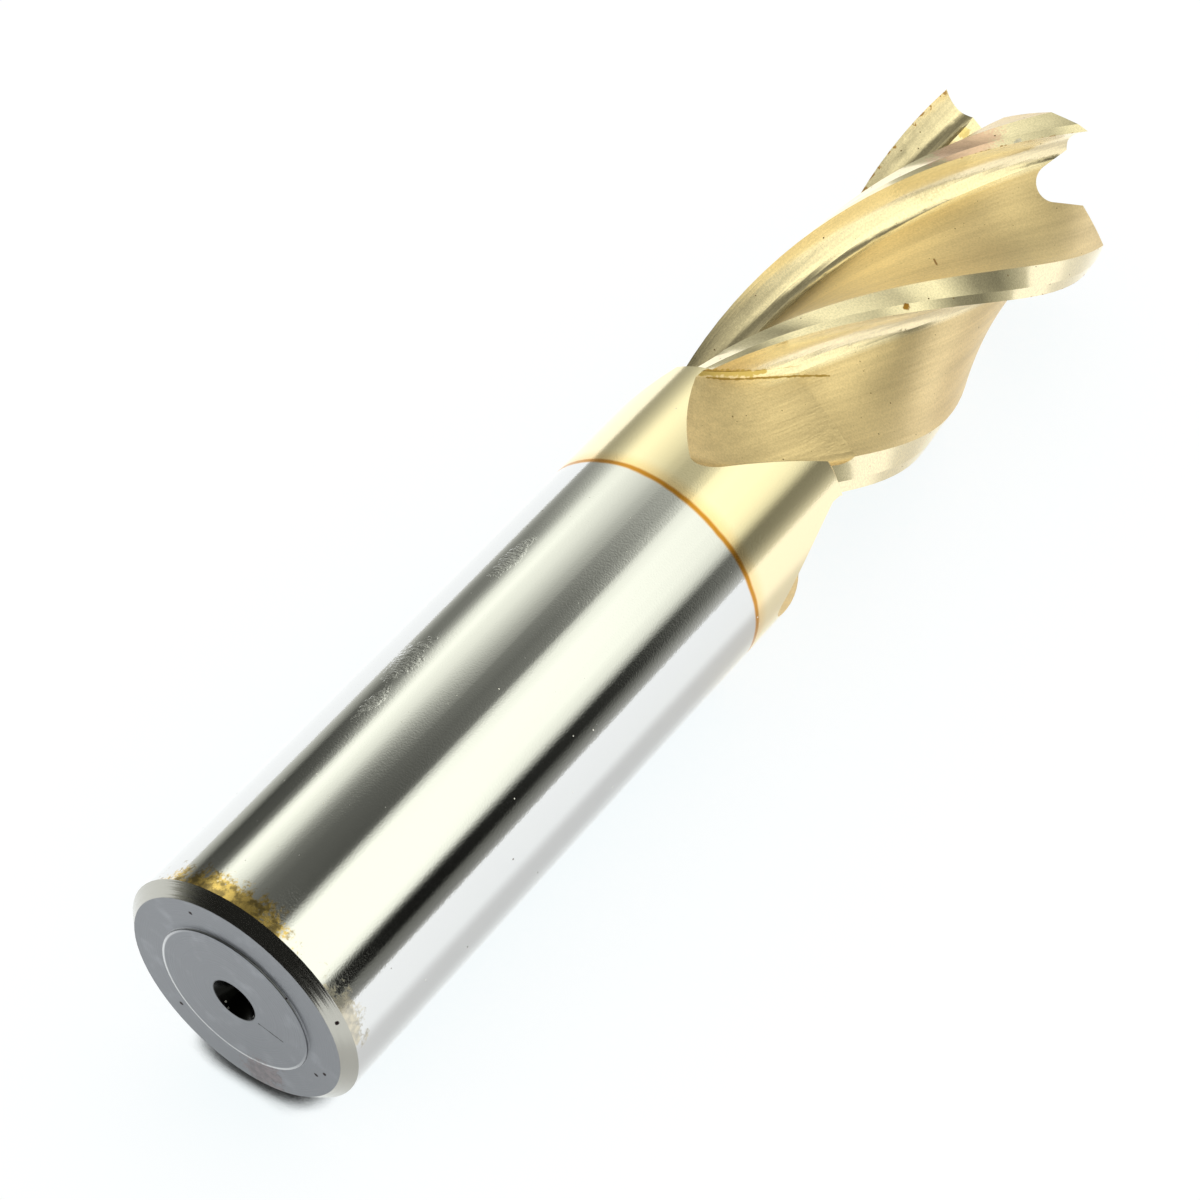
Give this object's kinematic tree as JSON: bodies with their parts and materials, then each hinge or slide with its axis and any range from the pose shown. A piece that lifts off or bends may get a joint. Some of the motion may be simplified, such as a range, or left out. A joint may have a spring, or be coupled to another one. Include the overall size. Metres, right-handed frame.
{
  "type": "square end mill",
  "caption": "Square end mill with helical flutes, relieved lands, gashed end teeth and a plain round shank, coated on its cutting end.",
  "frame": {"origin": "centre of the raised pad on the shank end, where the tool stands", "axes": "+Z along the tool's axis towards the cutting end, +X through one cutting corner"},
  "size_m": [0.02, 0.02, 0.104],
  "materials": {
    "tool_steel": "ground bright steel shank, pale gold coating on the cutting end"
  },
  "bodies": {
    "root": {"end_mill": "tool_steel"}
  },
  "joints": []
}
